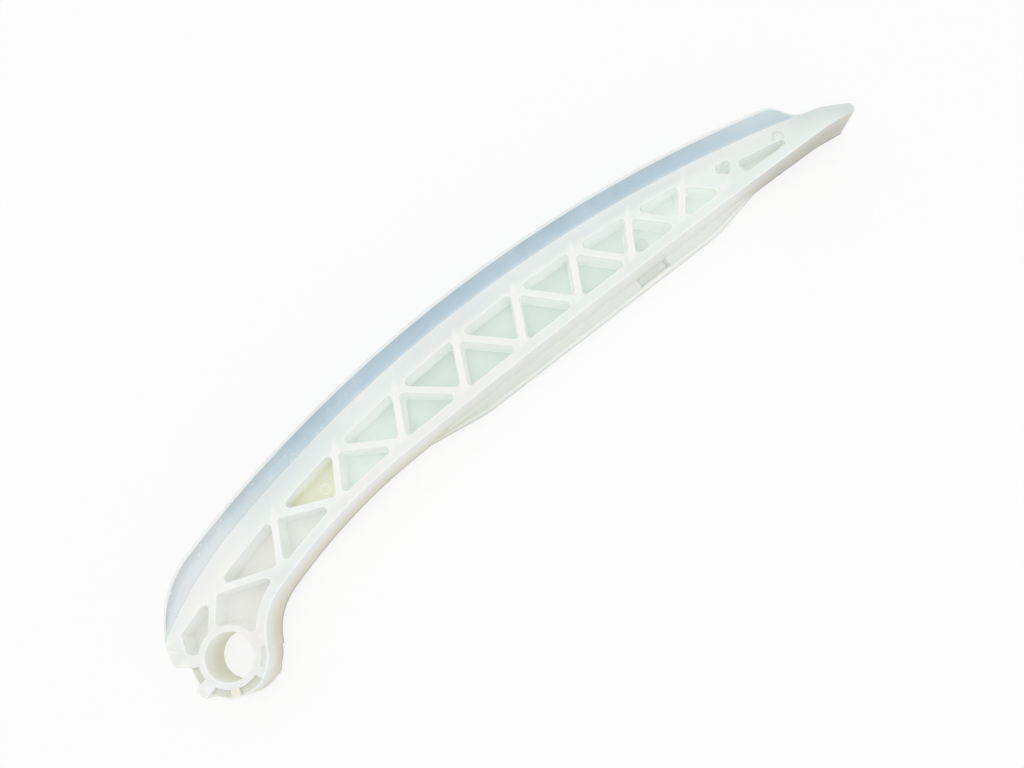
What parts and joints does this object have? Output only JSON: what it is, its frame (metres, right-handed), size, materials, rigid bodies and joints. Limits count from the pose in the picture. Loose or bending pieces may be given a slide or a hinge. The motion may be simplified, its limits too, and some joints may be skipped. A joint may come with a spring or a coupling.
{
  "type": "timing chain guide",
  "caption": "Curved nylon timing chain guide: a chain trough between side rails, a triangulated rib frame, a pivot boss with a plain bore, a tapered tongue and a foot along the back.",
  "frame": {"origin": "on the axis of the pivot bore, in the plane of the rear side", "axes": "+Z along the pivot bore towards the side with the full-width back, +X along the blade from the pivot to the tongue, +Y towards the chain"},
  "size_m": [0.218, 0.0435, 0.016],
  "materials": {
    "natural_nylon": "satin"
  },
  "bodies": {
    "root": {"chain_guide": "natural_nylon"}
  },
  "joints": []
}
